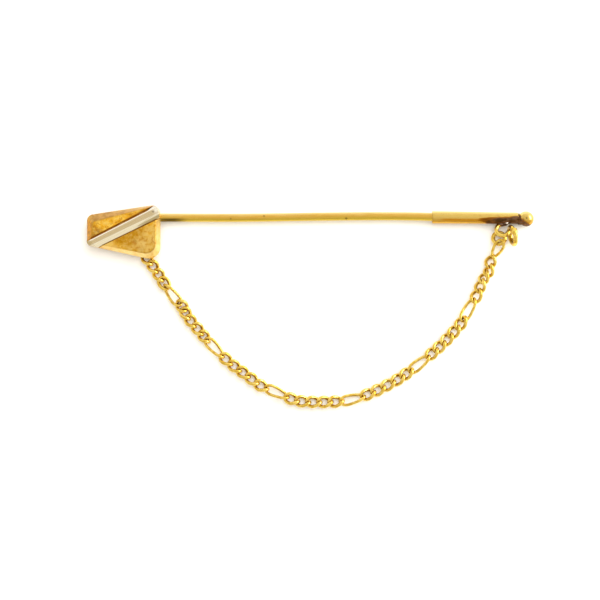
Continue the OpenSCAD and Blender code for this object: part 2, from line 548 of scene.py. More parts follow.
def ring_shell(rings: Array, marks: dict[str, Array] | None = None) -> Shell:
    """Skins a stack of rings and closes both ends with a pole at the end ring's middle.

    Args:
        rings: points, rings x points round the ring x 3.
        marks: values, rings x points round the ring, by name.

    Returns:
        The closed shell.
    """
    count, around = rings.shape[:2]
    number = np.arange(count * around).reshape(count, around)
    beside = np.roll(number, -1, axis=1)
    quads = np.stack([number[:-1], beside[:-1], beside[1:], number[1:]], -1).reshape(-1, 4)
    low, high = np.full(around, count * around), np.full(around, count * around + 1)
    tris = np.concatenate([np.stack([beside[0], number[0], low], -1),
                           np.stack([number[-1], beside[-1], high], -1)])
    points = np.concatenate([rings.reshape(-1, 3), rings[[0, -1]].mean(axis=1)])
    values = {n: np.concatenate([v.ravel(), v[[0, -1]].mean(axis=1)]) for n, v in (marks or {}).items()}
    return Shell(points, quads, tris, values).outward()


def loop_shell(rings: Array, marks: dict[str, Array] | None = None) -> Shell:
    """Skins rings that close on themselves, as a ring of wire does.

    Args:
        rings: points, rings x points round the ring x 3.
        marks: values, rings x points round the ring, by name.

    Returns:
        The closed shell.
    """
    count, around = rings.shape[:2]
    number = np.arange(count * around).reshape(count, around)
    beside, ahead = np.roll(number, -1, axis=1), np.roll(number, -1, axis=0)
    quads = np.stack([number, beside, np.roll(beside, -1, axis=0), ahead], -1).reshape(-1, 4)
    values = {n: v.ravel() for n, v in (marks or {}).items()}
    return Shell(rings.reshape(-1, 3), quads, np.zeros((0, 3), int), values).outward()


def unit(v: Array) -> Array:
    """Vectors at length one."""
    return v / np.linalg.norm(v, axis=-1, keepdims=True)


def full_turn(count: int) -> Array:
    """Evenly spaced angles round a full turn."""
    return np.linspace(0, 2 * np.pi, count, endpoint=False)


def circle(turn: Array, height: Array | float | None = None) -> Array:
    """The unit circle's points (cos, sin) at angles, with a third coordinate where a height is given."""
    parts = [np.cos(turn), np.sin(turn)] + ([] if height is None else [height + 0 * turn])
    return np.stack(parts, -1)


def curve(start: Array | float, corner: Array | float, end: Array | float, t: Array | float) -> Array:
    """The curve (1-t)^2 start + 2t(1-t) corner + t^2 end, which rounds a corner off."""
    return (1 - t) ** 2 * start + 2 * t * (1 - t) * corner + t ** 2 * end


def wire_rings(path: Array, radius: Array | float, sides: int, up: Sequence[float],
               closed: bool = False) -> Array:
    """Circles carried along a path.

    Each circle stands across the path's tangent, on the two axes up x tangent and tangent x that.

    Args:
        path: the centreline, n x 3.
        radius: one radius, or one for each point.
        sides: points round the circle.
        up: a direction that the path never runs along.
        closed: whether the path comes back to its start.

    Returns:
        Rings, n x sides x 3.
    """
    if closed:
        tangent = unit(np.roll(path, -1, axis=0) - np.roll(path, 1, axis=0))
    else:
        tangent = unit(np.gradient(path, axis=0))
    side = unit(np.cross(np.asarray(up, float), tangent))
    rise = np.cross(tangent, side)
    turn = full_turn(sides)[None, :, None]
    size = np.broadcast_to(radius, len(path))[:, None, None]
    return path[:, None] + size * (np.cos(turn) * side[:, None] + np.sin(turn) * rise[:, None])


def facing(rings: Array, path: Array, core: Array | float) -> Array:
    """How squarely a wire's points face a core, as the cosine between the ways out and to the core."""
    return (unit(rings - path[:, None]) * unit(core - path)[:, None]).sum(-1)


def rounded_wire(path: Array, radius: float, sides: int, up: Sequence[float], cap: int = 5) -> Shell:
    """An open wire whose two ends are half balls.

    Past each end the path goes on straight for sin(a) radii while the circle shrinks to cos(a).

    Args:
        path: the centreline between the two half balls, n x 3.
        radius: the wire's radius.
        sides: points round the wire.
        up: a direction that the path never runs along.
        cap: rings in each half ball.

    Returns:
        The closed shell.
    """
    turn = np.linspace(0, np.pi / 2, cap + 1)[1:] * 0.97
    first, last = unit(path[0] - path[1]), unit(path[-1] - path[-2])
    before = path[0] + np.sin(turn[::-1])[:, None] * radius * first
    after = path[-1] + np.sin(turn)[:, None] * radius * last
    line = np.concatenate([before, path, after])
    radii = radius * np.concatenate([np.cos(turn[::-1]), np.ones(len(path)), np.cos(turn)])
    return ring_shell(wire_rings(line, radii, sides, up))


def lump(centre: Sequence[float], radii: Sequence[float], seed: int, rough: float = 0.12) -> Shell:
    """A ball pressed to three radii with a few waves over it, as run solder has.

    The radius at latitude u and longitude v is 1 plus the sum of sines of whole multiples of v
    and of latitude, with seeded phases.

    Args:
        centre: its middle.
        radii: its half sizes along X, Y and Z.
        seed: the waves' seed.
        rough: the waves' height against the radius.

    Returns:
        The closed shell.
    """
    chance = np.random.default_rng(seed)
    u = np.linspace(-np.pi / 2, np.pi / 2, 26)[1:-1, None]
    v = full_turn(40)[None]
    wave = sum(np.sin(k * v + a) * np.cos(u) ** k * np.sin(k * u + b) / k
               for k, (a, b) in enumerate(chance.uniform(0, 6.28, (5, 2)), start=1))
    size = 1 + rough * wave
    ball = np.stack([size * np.cos(u) * np.cos(v), size * np.cos(u) * np.sin(v), size * np.sin(u)], -1)
    return ring_shell(np.asarray(centre) + ball * np.asarray(radii))


def smooth(value: Array, low: float, high: float) -> Array:
    """0 below low, 1 above high, and a smooth step between."""
    t = np.clip((value - low) / (high - low), 0, 1)
    return t * t * (3 - 2 * t)


def spot(x: Array, y: Array | float, radius: float) -> Array:
    """A soft round spot: exp(-(distance / radius)^2)."""
    return np.exp(-(x ** 2 + y ** 2) / radius ** 2)


def band(value: Array, low: float, first: float, last: float, high: float) -> Array:
    """Rises from 0 at low to 1 at first, and falls again from last to high."""
    return smooth(value, low, first) * (1 - smooth(value, last, high))


def make_piece(name: str, shell: Shell, finish: Material, node: Node,
               crease: float = 35.0) -> bpy.types.Object:
    """Puts a shell into a mesh object, dresses it and ties it to the frame.

    Args:
        name: the piece's name.
        shell: its surface.
        finish: its material.
        node: the solid that it stands for.
        crease: edges sharper than this many degrees stay sharp.

    Returns:
        The new object, at the origin.
    """
    mesh = bpy.data.meshes.new(name)
    mesh.from_pydata((shell.points * MM).tolist(), [], shell.quads.tolist() + shell.tris.tolist())
    for key, values in shell.marks.items():
        mesh.attributes.new(key, "FLOAT", "POINT").data.foreach_set("value", values.astype(np.float32))
    mesh.materials.append(finish)
    mesh.shade_smooth()
    mesh.set_sharp_from_angle(angle=math.radians(crease))
    mesh.update()
    piece = bpy.data.objects.new(name, mesh)
    bpy.context.scene.collection.objects.link(piece)
    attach(piece, "root")
    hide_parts(node.value)
    log.info("%s: %d points, %d faces", name, len(mesh.vertices), len(mesh.polygons))
    return piece


# The plaque and its bar


@dataclass(frozen=True)
class PlaqueOutline:
    """The plaque's four-sided outline with a rounding at each corner, anticlockwise from the top left."""

    corners: tuple[Pair, ...] = ((-32.45, 13.38), (-32.45, 8.98), (-21.8, 6.65), (-21.8, 15.0))
    radii: tuple[float, ...] = (0.93, 0.66, 1.7, 1.25)
    least_radius: float = 0.12
    arc: int = 14
    edge: int = 30

    def sides(self) -> tuple[Array, Array, Array]:
        """The outline's directions.

        Returns:
            The corners, each side's inward normal and each corner's mitre vector.
        """
        corner = np.array(self.corners)
        along = unit(np.roll(corner, -1, axis=0) - corner)
        inward = np.stack([-along[:, 1], along[:, 0]], -1)
        before = np.roll(inward, 1, axis=0)
        mitre = (before + inward) / (1 + (before * inward).sum(-1, keepdims=True))
        return corner, inward, mitre

    def rings(self, inset: Array) -> Array:
        """Outlines set inwards.

        A corner moves along its mitre by the inset, its rounding shrinks by as much, and each
        rounding is an arc about the corner plus mitre times radius.

        Args:
            inset: how far in, rings x points round the ring, or rings x 1.

        Returns:
            Points, rings x points x 2.
        """
        corner, inward, mitre = self.sides()
        inset = np.broadcast_to(inset, (len(inset), 4 * (self.arc + self.edge)))
        share = (np.arange(1, self.edge + 1) / (self.edge + 1))[:, None]

        def rounding(i: int, d: Array) -> tuple[Array, Array]:
            """The arc's middle and radius at corner i where the outline is set in by d."""
            r = np.maximum(self.radii[i] - d, self.least_radius)[..., None]
            return corner[i] + mitre[i] * (d[..., None] + r), r

        parts = []
        for i, piece in enumerate(np.split(inset, 4, axis=1)):
            turn = self.turns(inward, i)
            middle, r = rounding(i, piece[:, :self.arc])
            parts.append(middle + r * circle(turn))
            places = [rounding(j, piece[:, self.arc:]) for j in (i, (i + 1) % 4)]
            start, end = (middle - inward[i] * r for middle, r in places)
            parts.append(start + (end - start) * share)
        return np.concatenate(parts, axis=1)

    def turns(self, inward: Array, i: int) -> Array:
        """The angles of a corner's arc, from the side before it to the side after it.

        Args:
            inward: each side's inward normal.
            i: the corner's number.

        Returns:
            The angles, in radians.
        """
        start = np.arctan2(*-inward[i - 1][::-1])
        turn = (np.arctan2(*-inward[i][::-1]) - start + np.pi) % (2 * np.pi) - np.pi
        return start + np.linspace(0, turn, self.arc)

    def depth(self, place: Array) -> Array:
        """How far inside the outline points lie.

        It is the least distance to a side, or at a rounded corner its radius less the distance to
        the arc's centre.

        Args:
            place: points in plan.

        Returns:
            The depth of each, below 0 outside.
        """
        corner, inward, mitre = self.sides()
        height = ((place[..., None, :] - corner) * inward).sum(-1)
        found = height.min(-1)
        for i, r in enumerate(self.radii):
            centre = corner[i] + mitre[i] * r
            near = (height[..., i] < r) & (height[..., i - 1] < r)
            found = np.where(near, r - np.linalg.norm(place - centre, axis=-1), found)
        return found

    def held(self, place: Array) -> Array:
        """Points held inside the last corner's rounding.

        Args:
            place: points in plan.

        Returns:
            The points, with those beyond the rounding moved in to it, straight towards its centre.
        """
        corner, _, mitre = self.sides()
        centre = corner[-1] + mitre[-1] * self.radii[-1]
        away = place - centre
        beyond = (self.depth(place) < -1e-4)[..., None]
        return np.where(beyond, centre + unit(away) * self.radii[-1], place)


@dataclass(frozen=True)
class BarAxis:
    """The diagonal that the bar lies along: s runs along it from its middle, w across it towards +Y."""

    middle: Pair = (-27.25, 11.3)
    angle: float = math.radians(26)

    def place(self, s: Array, w: Array) -> Array:
        """Points in plan.

        Args:
            s: how far along the bar.
            w: how far across it.

        Returns:
            Points, with x and y last.
        """
        s, w = np.broadcast_arrays(s, w)
        c, n = math.cos(self.angle), math.sin(self.angle)
        return np.stack([self.middle[0] + s * c - w * n, self.middle[1] + s * n + w * c], -1)

    def along_across(self, points: Array) -> tuple[Array, Array]:
        """Where points lie along and across the bar.

        Args:
            points: points in plan or in space.

        Returns:
            The s and the w of each.
        """
        x, y = points[..., 0] - self.middle[0], points[..., 1] - self.middle[1]
        c, n = math.cos(self.angle), math.sin(self.angle)
        return x * c + y * n, y * c - x * n


@dataclass(frozen=True)
class Tablet:
    """One of the plaque's two gold faces, a triangle with one rounded corner.

    Its two sloping sides run in from the plaque's edge, and its third is the channel's upright
    wall. A pair of places or radii is at the plaque's edge and at the face's. The samples are the
    points along the first side, round the corner, along the second side and along the channel.
    """

    corner: tuple[Pair, Pair]
    first_far: tuple[Pair, Pair]
    second_far: tuple[Pair, Pair]
    radius: Pair
    channel: tuple[Pair, Pair]
    foot_z: float
    rim_z: float
    face_z: float
    wall_round: float = 0.1
    bend: float = 0.8
    waves: float = 0.03
    face_rings: int = 32
    samples: tuple[int, int, int, int] = (56, 20, 70, 100)

    def profile(self) -> Array:
        """The slope's section.

        The slope passes into the face over a rounding curve, from the bend's share of the slope to
        as far past its end, and the wall's top edge rounds over with it.

        Returns:
            Rows of (share of the slope, inset from the channel wall, height).
        """
        rise = self.face_z - self.rim_z
        rows = [(0, 0, self.foot_z), (0, 0, self.rim_z - 0.05), (0.008, 0, self.rim_z)]
        rows += [(f, 0, self.rim_z + rise * f) for f in np.linspace(0.06, self.bend, 10)]
        for t in np.linspace(0, 1, 9)[1:]:
            height = self.rim_z + rise * curve(self.bend, 1, 1, t)
            rows.append((self.bend + 2 * (1 - self.bend) * t, self.wall_round * t ** 2, height))
        return np.array(rows, float)

    def ring(self, share: Array, back: Array) -> Array:
        """The triangle's rings.

        Its corner and far ends move in a straight line from the plaque's edge to the face's edge by
        share; the two sides are cut where they meet the channel's line moved in by back.

        Args:
            share: 0 at the plaque's edge and 1 at the face's, one for each ring.
            back: inset from the channel's line, one for each ring.

        Returns:
            Points, rings x points x 2.
        """
        blend = [np.array(a) + share[:, None] * (np.array(b) - np.array(a))
                 for a, b in (self.corner, self.first_far, self.second_far)]
        radius = self.radius[0] + share * (self.radius[1] - self.radius[0])
        axis = BarAxis()
        ends = axis.place(*np.array(self.channel).T)
        along = unit(ends[1] - ends[0])
        across = np.array([-along[1], along[0]])
        across = across * np.sign((blend[0][0] - ends[0]) @ across)
        start = ends[0] + back[:, None] * across
        toward = [unit(far - blend[0]) for far in blend[1:]]
        cuts = [blend[0] + t * (((start - blend[0]) @ across) / (t @ across))[:, None] for t in toward]
        half = np.arccos(np.clip((toward[0] * toward[1]).sum(-1), -1, 1)) / 2
        tangent = [blend[0] + t * (radius / np.tan(half))[:, None] for t in toward]
        middle = blend[0] + unit(toward[0] + toward[1]) * (radius / np.sin(half))[:, None]
        angles = [np.arctan2(*(p - middle).T[::-1]) for p in tangent]
        sweep = (angles[1] - angles[0] + np.pi) % (2 * np.pi) - np.pi
        first, round_corner, second, wall = self.samples
        turn = angles[0][:, None] + sweep[:, None] * np.linspace(0, 1, round_corner)
        arc = middle[:, None] + radius[:, None, None] * circle(turn)
        runs = [(cuts[0], tangent[0], np.arange(first) / first),
                (tangent[1], cuts[1], (np.arange(second) + 1) / (second + 1)),
                (cuts[1], cuts[0], np.arange(wall) / wall)]
        lines = [a[:, None] + (b - a)[:, None] * steps[None, :, None] for a, b, steps in runs]
        return np.concatenate([lines[0], arc, lines[1], lines[2]], axis=1)

    def shell(self, marker: Callable[[Array, Array, Array], dict[str, Array]]) -> Shell:
        """The tablet's closed surface.

        The slope's rings are followed by rings that shrink to the face's middle, with a wave over
        the face of the sum of three sines in x and y.

        Args:
            marker: gives the marks from the points, the slope's share and the second side's share.

        Returns:
            The shell with its marks.
        """
        rows = self.profile()
        outline = self.ring(rows[:, 0], rows[:, 1])
        shrink = 1 - np.linspace(0, 1, self.face_rings + 2)[1:-1]
        last = outline[-1]
        middle = last.mean(0)
        plan = np.concatenate([outline, middle + (last - middle) * shrink[:, None, None]])
        count = plan.shape[1]
        flat = np.full((len(shrink), count), self.face_z)
        height = np.concatenate([np.repeat(rows[:, 2:], count, 1), flat])
        x, y = plan[..., 0], plan[..., 1]
        wave = np.sin(1.9 * x + 0.7 * y) + np.sin(2.6 * y - 1.1 * x + 1) + np.sin(3.3 * x + 2.4 * y + 2)
        inside = np.concatenate([np.zeros(len(rows)), 1 - shrink])[:, None]
        wave = (wave + 3) / 6  # three sines give -3 to 3, so this is 0 to 1
        height = height - self.waves * np.minimum(inside * 2.5, 1) * wave
        share = np.concatenate([rows[:, 0], np.full(len(shrink), 1.4)])[:, None] + 0 * x
        n = self.samples
        second = [np.zeros(n[0]), np.linspace(0, 1, n[1]), np.ones(n[2]), np.linspace(1, 0, n[3])]
        second = np.concatenate(second)[None] + 0 * x
        points = np.concatenate([plan, height[..., None]], -1)
        marks = marker(points, share, second)
        wall = np.concatenate([np.zeros(count - n[3]), np.ones(n[3])])[None]
        marks["soot"] = wall * smooth(self.face_z - height, 0.05, 0.2) * (inside == 0)
        return ring_shell(points, marks)


@dataclass
class Plaque:
    """The plaque: a base plate with an upright edge under the bar, and the two gold tablets on it."""

    outline: PlaqueOutline = field(default_factory=PlaqueOutline)
    back_z: float = 1.5
    foot_z: float = 1.62
    rim_z: float = 1.85
    floor_z: float = 2.5
    face_z: float = 3.0
    tucked_in: float = 0.02
    under_tablets: float = 0.4
    upper_channel: tuple[Pair, Pair] = ((-5.3, 0.82), (5.2, 1.01))
    lower_channel: tuple[Pair, Pair] = ((-3.4, -0.86), (5.6, -0.94))

    def base(self) -> Shell:
        """The base plate: the outline carried up from the back.

        It leans in at the bar's right end, stands upright where the bar reaches the lower left
        corner, and is set well in below the tablets. Each row gives an inset and a height.

        Returns:
            The plate's shell.
        """
        back, rim, floor = self.back_z, self.rim_z, self.floor_z
        rows = np.array([(0.5, back), (0.09, back), (0.03, back + 0.03), (0, back + 0.1), (0, rim),
                         (0.03, 2.0), (0.07, 2.2), (0.12, 2.4), (0.17, 2.49), (0.21, floor), (0.9, floor)])
        whole = self.outline.rings(np.zeros((1, 1)))[0]
        s, w = BarAxis().along_across(whole)
        upright = (s < 0) * smooth(-np.abs(w - 0.05), -1.05, -0.85)
        lean = np.minimum(rows[:, :1], 0.2) * (rows[:, 1:] > rim)
        x, y = whole.T
        under = smooth(w - self.channel_w(x, y, self.upper_channel), 0.0, 0.2)
        under = under + smooth(self.channel_w(x, y, self.lower_channel) - w, 0.0, 0.2)
        under = under * smooth(rows[:, 1:], rim - 0.08, rim)
        inset = rows[:, :1] - lean * upright[None] * 0.9 + self.tucked_in + self.under_tablets * under
        plan = self.outline.rings(inset)
        middle = plan[0].mean(0)
        shrink = np.linspace(0.85, 0.1, 8)[:, None, None]
        below = middle + (plan[0] - middle) * shrink[::-1]
        above = middle + (plan[-1] - middle) * shrink
        plan = np.concatenate([below, plan, above])
        height = np.concatenate([np.full(len(shrink), back), rows[:, 1], np.full(len(shrink), floor)])
        points = np.concatenate([plan, np.broadcast_to(height[:, None, None], (*plan.shape[:2], 1))], -1)
        soot = smooth(height, floor - 0.02, floor)[:, None] * smooth(self.outline.depth(plan), 0.2, 0.6)
        # the base's left edge takes the left slope's russet: painted shade with some stain
        left = 0.6 * smooth(-plan[..., 0], 26, 30)
        return ring_shell(points, {"soot": soot, "band": 0 * soot + 1, "left_band": left})

    def upper(self) -> Shell:
        """The upper left tablet, whose wide top slope narrows towards the right.

        Returns:
            Its shell, held inside the plaque's outline at the top right.
        """

        def marks(points: Array, share: Array, second: Array) -> dict[str, Array]:
            """Tan on the top slope and russet on the left one, both painted shade with some stain, and khaki in
            the lower left corner.

            Args:
                points: the tablet's points.
                share: how far each lies up the slope.
                second: 0 on the left slope and 1 on the top one.

            Returns:
                The marks by name.
            """
            x, y = points[..., 0], points[..., 1]
            s, w = BarAxis().along_across(points)
            # the top slope's painted shade fades towards the right and at its foot
            paler_right = 1 - 0.3 * smooth(x, -26.6, -23.8)
            paler_foot = 1 - 0.2 * smooth(x, -29.4, -28.2) * (1 - smooth(share, 0.25, 0.6))
            from_wall = w - self.channel_w(x, y, self.upper_channel)
            return {
                "band": 1 - smooth(share, 0.9, 1.14), "top_band": second * paler_right * paler_foot,
                "left_band": 1 - second, "rich": 0 * x + 1,
                "khaki": self.clouds(x, y, (-31.3, 10.5, 0.8, 1.0), (-30.4, 10.9, 0.6, 0.7),
                                     (-31.3, 11.6, 0.4, 0.5), (-24.3, 14.1, 0.6, 0.5)),
                "ochre": self.clouds(x, y, (-31.6, 12.1, 0.35, 0.7), (-26.0, 13.4, 0.5, 0.4)),
                "peach": self.clouds(x, y, (-25.6, 13.7, 0.5, 0.4)),
                # painted shade on the face beside the channel, and along the crease at the top slope's head
                "groove": 1 - smooth(from_wall, 0.04, 0.14 + 0.26 * smooth(s, -1, 3.5)),
                "dirt": 0.35 * np.exp(-((share - 1.06) / 0.1) ** 2) * second}

        shell = Tablet(
            corner=((-32.45, 13.38), (-31.52, 12.35)), first_far=((-32.45, 9.1), (-31.75, 9.1)),
            second_far=((-21.8, 15.0), (-21.8, 14.86)), radius=(0.93, 0.35),
            channel=self.upper_channel, foot_z=self.foot_z, rim_z=self.rim_z,
            face_z=self.face_z, wall_round=0.14).shell(marks)
        shell.points[:, :2] = self.outline.held(shell.points[:, :2])
        shell.marks["soot"] *= smooth(self.outline.depth(shell.points[:, :2]), 0.3, 1.1)
        return shell

    def lower(self) -> Shell:
        """The lower right tablet, with its slopes painted pale as painted light, and clouds of ochre and
        peach on its face.

        Returns:
            Its shell.
        """

        def marks(points: Array, share: Array, second: Array) -> dict[str, Array]:
            """Ochre near the bar's middle, richer gold at both ends, and peach to its left and right.

            Args:
                points: the tablet's points.
                share: how far each lies up the slope.
                second: 0 on the right slope and 1 on the bottom one.

            Returns:
                The marks by name.
            """
            x, y = points[..., 0], points[..., 1]
            _, w = BarAxis().along_across(points)
            fade = 1 - smooth(x, -28.5, -25.0)
            slope = 1 - smooth(share, 0.86 - 0.2 * fade, 1.1 + 0.25 * fade)
            foot = np.exp(-((share - 1.02 - 0.06 * second) / 0.13) ** 2) * (0.95 - 0.55 * second)
            from_wall = self.channel_w(x, y, self.lower_channel) - w
            return {
                "band": slope * smooth(x, -30.5, -27.5),
                "ochre": self.clouds(x, y, (-27.7, 9.6, 0.75, 1.0), (-26.6, 9.9, 0.8, 1.0),
                                     (-25.6, 10.5, 0.7, 1.0), (-26.2, 9.1, 0.6, 0.7),
                                     (-24.8, 11.2, 0.8, 0.9), (-24.3, 10.0, 0.5, 0.5), (-25.3, 8.6, 0.5, 0.4)),
                "rich": self.clouds(x, y, (-23.6, 12.2, 0.8, 0.6), (-22.9, 12.6, 0.7, 0.6),
                                    (-23.4, 10.6, 0.6, 0.3), (-28.6, 8.95, 0.9, 0.8),
                                    (-27.6, 8.7, 0.6, 0.6)),
                "peach": self.clouds(x, y, (-29.6, 8.9, 0.9, 1.0), (-28.2, 8.5, 0.6, 0.7),
                                     (-24.3, 9.2, 0.8, 0.8), (-22.9, 9.6, 0.5, 0.6),
                                     (-23.4, 11.2, 0.4, 0.5)),
                "khaki": self.clouds(x, y, (-25.4, 9.5, 0.4, 0.5), (-22.75, 8.3, 0.3, 0.3),
                                     (-24.4, 8.3, 0.5, 0.4)),
                # painted shade on the face beside the channel, and along the crease at the slopes' heads
                "groove": 0.5 - 0.5 * smooth(from_wall, 0.0, 0.12),
                "dirt": foot * smooth(x, -27.5, -24.5)}

        return Tablet(
            corner=((-21.8, 6.65), (-22.42, 7.5)), first_far=((-21.8, 15.0), (-22.3, 14.9)),
            second_far=((-32.5, 9.05), (-32.5, 9.4)), radius=(1.7, 1.5),
            channel=self.lower_channel, foot_z=self.foot_z, rim_z=self.rim_z,
            face_z=self.face_z).shell(marks)

    @staticmethod
    def clouds(x: Array, y: Array, *spots: Four) -> Array:
        """Soft stains: the sum of strength x exp(-(distance / radius)^2), held at 1.

        Args:
            x: points along X.
            y: points along Y.
            spots: x, y, radius and strength of each stain, charted.

        Returns:
            The stain at each point.
        """
        return np.clip(sum(h * spot(x - a, y - b, r) for a, b, r, h in spots), 0, 1)

    @staticmethod
    def channel_w(x: Array, y: Array, line: tuple[Pair, Pair]) -> Array:
        """How far across the bar the channel's wall is, level with points.

        Args:
            x: points along X.
            y: points along Y.
            line: the wall's two ends, along and across the bar.

        Returns:
            The wall's distance across the bar.
        """
        (s0, w0), (s1, w1) = line
        s, _ = BarAxis().along_across(np.stack([x, y], -1))
        return w0 + (s - s0) * (w1 - w0) / (s1 - s0)

    def build(self, finish: Material) -> None:
        """Makes the base plate and both tablets.

        Args:
            finish: the cast gold.
        """
        for name, shell in (("plaque_base", self.base()), ("plaque_upper_tablet", self.upper()),
                            ("plaque_lower_tablet", self.lower())):
            make_piece(name, shell, finish, Node.HEAD_AND_STEM, crease=28)


@dataclass
class AccentBar:
    """The white gold bar: two facets that meet at a ridge, cut off flush with the plaque's edge.

    The glint and the pit are (along, across, radius), and a scratch is (where it starts across the
    bar, how fast it climbs, how strong it is).
    """

    outline: PlaqueOutline = field(default_factory=PlaqueOutline)
    axis: BarAxis = field(default_factory=BarAxis)
    seat_z: float = 2.52
    side_t: float = 0.45
    ridge_t: float = 0.64
    left_w: Triple = (-0.8, -0.14, 0.63)
    right_w: Triple = (-0.83, -0.2, 0.79)
    left_inset: Pair = (0.05, 0.16)
    right_inset: Pair = (0.03, 0.13)
    corner_cuts: tuple[float, ...] = (0.02, 0.07, 0.08, 0.05, 0.02)
    flare: float = 0.2
    longest: float = 9.0
    glint: Triple = (5.65, 0.35, 0.42)
    pit: Triple = (5.15, 0.3, 0.13)
    scratches: tuple[Triple, ...] = ((-0.62, 0.035, 0.8), (-0.62, 0.16, 0.45))

    def section(self, w: Triple) -> Array:
        """The bar's section, clockwise from the lower foot.

        Each corner of the five-sided section is rounded between points a and b a little before and
        after it.

        Args:
            w: where the lower side, the ridge and the upper side stand across the bar.

        Returns:
            Points (across, height).
        """
        low, ridge, high = w
        corners = np.array([(low, 0), (low, self.side_t - 0.04), (ridge, self.ridge_t), (high, self.side_t),
                            (high, 0)])
        cut = np.array(self.corner_cuts)[:, None]
        before, after = (unit(np.roll(corners, k, axis=0) - corners) for k in (1, -1))
        a, b = corners + before * cut, corners + after * cut
        arcs = curve(a[:, None], corners[:, None], b[:, None], np.linspace(0, 1, 8)[None, :, None])
        share = (np.arange(1, 12) / 12)[None, :, None]
        runs = b[:, None] + (np.roll(a, -1, axis=0) - b)[:, None] * share
        return np.concatenate([arcs, runs], axis=1).reshape(-1, 2)

    def reach(self, w: Array, height: Array, side: int, inset: Pair) -> Array:
        """How far along the bar lines run before they meet the plaque's outline.

        The outline is set in by a little more the higher the line is, and the place is found by
        halving the span.

        Args:
            w: how far across the bar each line is.
            height: how high each is.
            side: -1 for the left end and 1 for the right one.
            inset: the outline's inset at the bar's foot and at its ridge.

        Returns:
            The place of each line's end along the bar.
        """
        want = inset[0] + (inset[1] - inset[0]) * (height / self.ridge_t) ** 2
        near, far = np.zeros_like(w), np.full_like(w, self.longest)
        for _ in range(34):
            half = (near + far) / 2
            inside = self.outline.depth(self.axis.place(side * half, w)) > want
            near, far = np.where(inside, half, near), np.where(inside, far, half)
        return side * near

    def shell(self) -> Shell:
        """The section carried along the diagonal, from nested loops over one end to the other's.

        Its upper edge flares out over the last part, so that the right end closes the channel.

        Returns:
            The bar's shell.
        """
        low, ridge, high = self.right_w
        straight = self.section(self.right_w)
        ends = [self.section(self.left_w), self.section((low, ridge, high + self.flare))]
        nest = np.array([0.08, 0.25, 0.45, 0.65, 0.82, 0.93, 0.985])[:, None, None]
        caps, borders = [], []
        for section, side, inset in ((ends[0], -1, self.left_inset), (ends[1], 1, self.right_inset)):
            middle = section.mean(0)
            loops = middle + (section - middle) * nest
            ending = self.reach(loops[..., 0], loops[..., 1], side, inset)
            caps.append(np.concatenate([ending[..., None], loops], -1))
            borders.append(self.reach(section[:, 0], section[:, 1], side, inset) - side * 0.05)
        share = np.linspace(0, 1, 120)[:, None]
        s = borders[0] + (borders[1] - borders[0]) * share
        body = ends[0] + (straight - ends[0]) * share[..., None]
        body = body + (ends[1] - straight) * smooth(share, 0.88, 0.99)[..., None]
        grid = np.concatenate([caps[0], np.concatenate([s[..., None], body], -1), caps[1][::-1]])
        plan = self.axis.place(grid[..., 0], grid[..., 1])
        points = np.concatenate([plan, grid[..., 2:] + self.seat_z], -1)
        return ring_shell(points, self.marks(grid[..., 0], grid[..., 1], grid[..., 2]))

    def marks(self, s: Array, w: Array, rise: Array) -> dict[str, Array]:
        """The marks: painted highlights on the upper edge, the crest and the right end, two scratches, a
        wedge of painted shade, a pit, and the darker left end.

        Args:
            s: how far along the bar each point is.
            w: how far across it.
            rise: how high above its foot.

        Returns:
            The marks by name.
        """
        ridge, high = (np.interp(s, (-5, 5), (self.left_w[k], self.right_w[k])) for k in (1, 2))
        # edge, crest and glint are painted highlights: a near-white line on the upper edge, a lighter ridge and
        # a spot at the right end
        edge = smooth(w - high, -0.21, -0.13) * (rise > self.side_t - 0.06) * smooth(s, -5.3, -4.6)
        crest = 0.45 * np.exp(-((w - ridge) / 0.05) ** 2) * (rise > self.side_t)
        glint = spot(s - self.glint[0], w - self.glint[1], self.glint[2]) * (rise > 0.2)
        scratch = sum(h * np.exp(-((w - (c + g * (s - 2.2))) / 0.045) ** 2) for c, g, h in self.scratches)
        scratch = scratch * band(s, 2.0, 2.6, 4.6, 5.3) * (rise > self.side_t - 0.1)
        # the wedge is a filed facet painted darker: painted shade, kept in one mark with the scratches
        wedge = 0.75 * smooth(-0.52 + 0.03 * (s - 2) - w, -0.06, 0.06) * smooth(s, 1.4, 3.6) * (rise > 0.2)
        pit = spot(s - self.pit[0], w - self.pit[1], self.pit[2]) * (rise > 0.4)
        return {"lower_facet": smooth(ridge - w, -0.03, 0.03), "worn_end": smooth(-s, 4.4, 5.3),
                "rubbed": np.clip(edge + crest + glint, 0, 1), "pit": pit,
                "scuff": np.clip(np.maximum(scratch, wedge), 0, 1)}

    def build(self, finish: Material) -> None:
        """Makes the bar."""
        make_piece("accent_bar", self.shell(), finish, Node.ACCENT_BAR, crease=40)


# The stem


